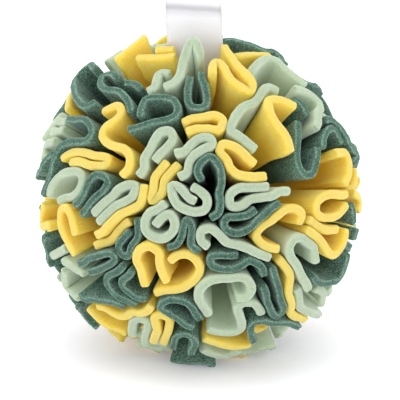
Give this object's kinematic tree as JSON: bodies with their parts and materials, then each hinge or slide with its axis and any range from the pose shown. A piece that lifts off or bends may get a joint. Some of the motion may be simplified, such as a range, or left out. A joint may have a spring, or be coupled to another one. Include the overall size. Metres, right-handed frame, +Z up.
{
  "type": "dog snuffle ball",
  "caption": "Ball of folded fleece tabs in yellow, pale sage and dark teal, gathered at their roots, with a white satin ribbon loop on top.",
  "frame": {"origin": "on the resting surface, under the ball's centre", "axes": "+Z up towards the ribbon loop; -Y is the front that the picture shows; +X is to the right as seen from the front"},
  "size_m": [0.154, 0.159, 0.171],
  "materials": {
    "yellow_fleece": "brushed fleece, matte",
    "sage_fleece": "brushed fleece, matte",
    "teal_fleece": "brushed fleece, matte",
    "ribbon_satin": "satin weave, soft shine"
  },
  "bodies": {
    "root": {"yellow_01": "yellow_fleece", "yellow_02": "yellow_fleece", "yellow_03": "yellow_fleece", "yellow_04": "yellow_fleece", "yellow_05": "yellow_fleece", "yellow_06": "yellow_fleece", "yellow_07": "yellow_fleece", "yellow_08": "yellow_fleece", "yellow_09": "yellow_fleece", "yellow_10": "yellow_fleece", "yellow_11": "yellow_fleece", "yellow_12": "yellow_fleece", "yellow_13": "yellow_fleece", "yellow_14": "yellow_fleece", "yellow_15": "yellow_fleece", "yellow_16": "yellow_fleece", "sage_01": "sage_fleece", "sage_02": "sage_fleece", "sage_03": "sage_fleece", "sage_04": "sage_fleece", "sage_05": "sage_fleece", "sage_06": "sage_fleece", "sage_07": "sage_fleece", "sage_08": "sage_fleece", "sage_09": "sage_fleece", "sage_10": "sage_fleece", "sage_11": "sage_fleece", "sage_12": "sage_fleece", "sage_13": "sage_fleece", "sage_14": "sage_fleece", "sage_15": "sage_fleece", "sage_16": "sage_fleece", "sage_17": "sage_fleece", "sage_18": "sage_fleece", "teal_01": "teal_fleece", "teal_02": "teal_fleece", "teal_03": "teal_fleece", "teal_04": "teal_fleece", "teal_05": "teal_fleece", "teal_06": "teal_fleece", "teal_07": "teal_fleece", "teal_08": "teal_fleece", "teal_09": "teal_fleece", "teal_10": "teal_fleece", "teal_11": "teal_fleece", "teal_12": "teal_fleece", "teal_13": "teal_fleece", "teal_14": "teal_fleece", "teal_15": "teal_fleece", "teal_16": "teal_fleece", "teal_17": "teal_fleece", "yellow_back_5": "yellow_fleece", "teal_back_2": "teal_fleece", "yellow_back_7": "yellow_fleece", "yellow_back_3": "yellow_fleece", "sage_back_1": "sage_fleece", "teal_back_4": "teal_fleece", "teal_back_6": "teal_fleece", "sage_back_8": "sage_fleece", "ribbon_loop": "ribbon_satin"}
  },
  "joints": []
}
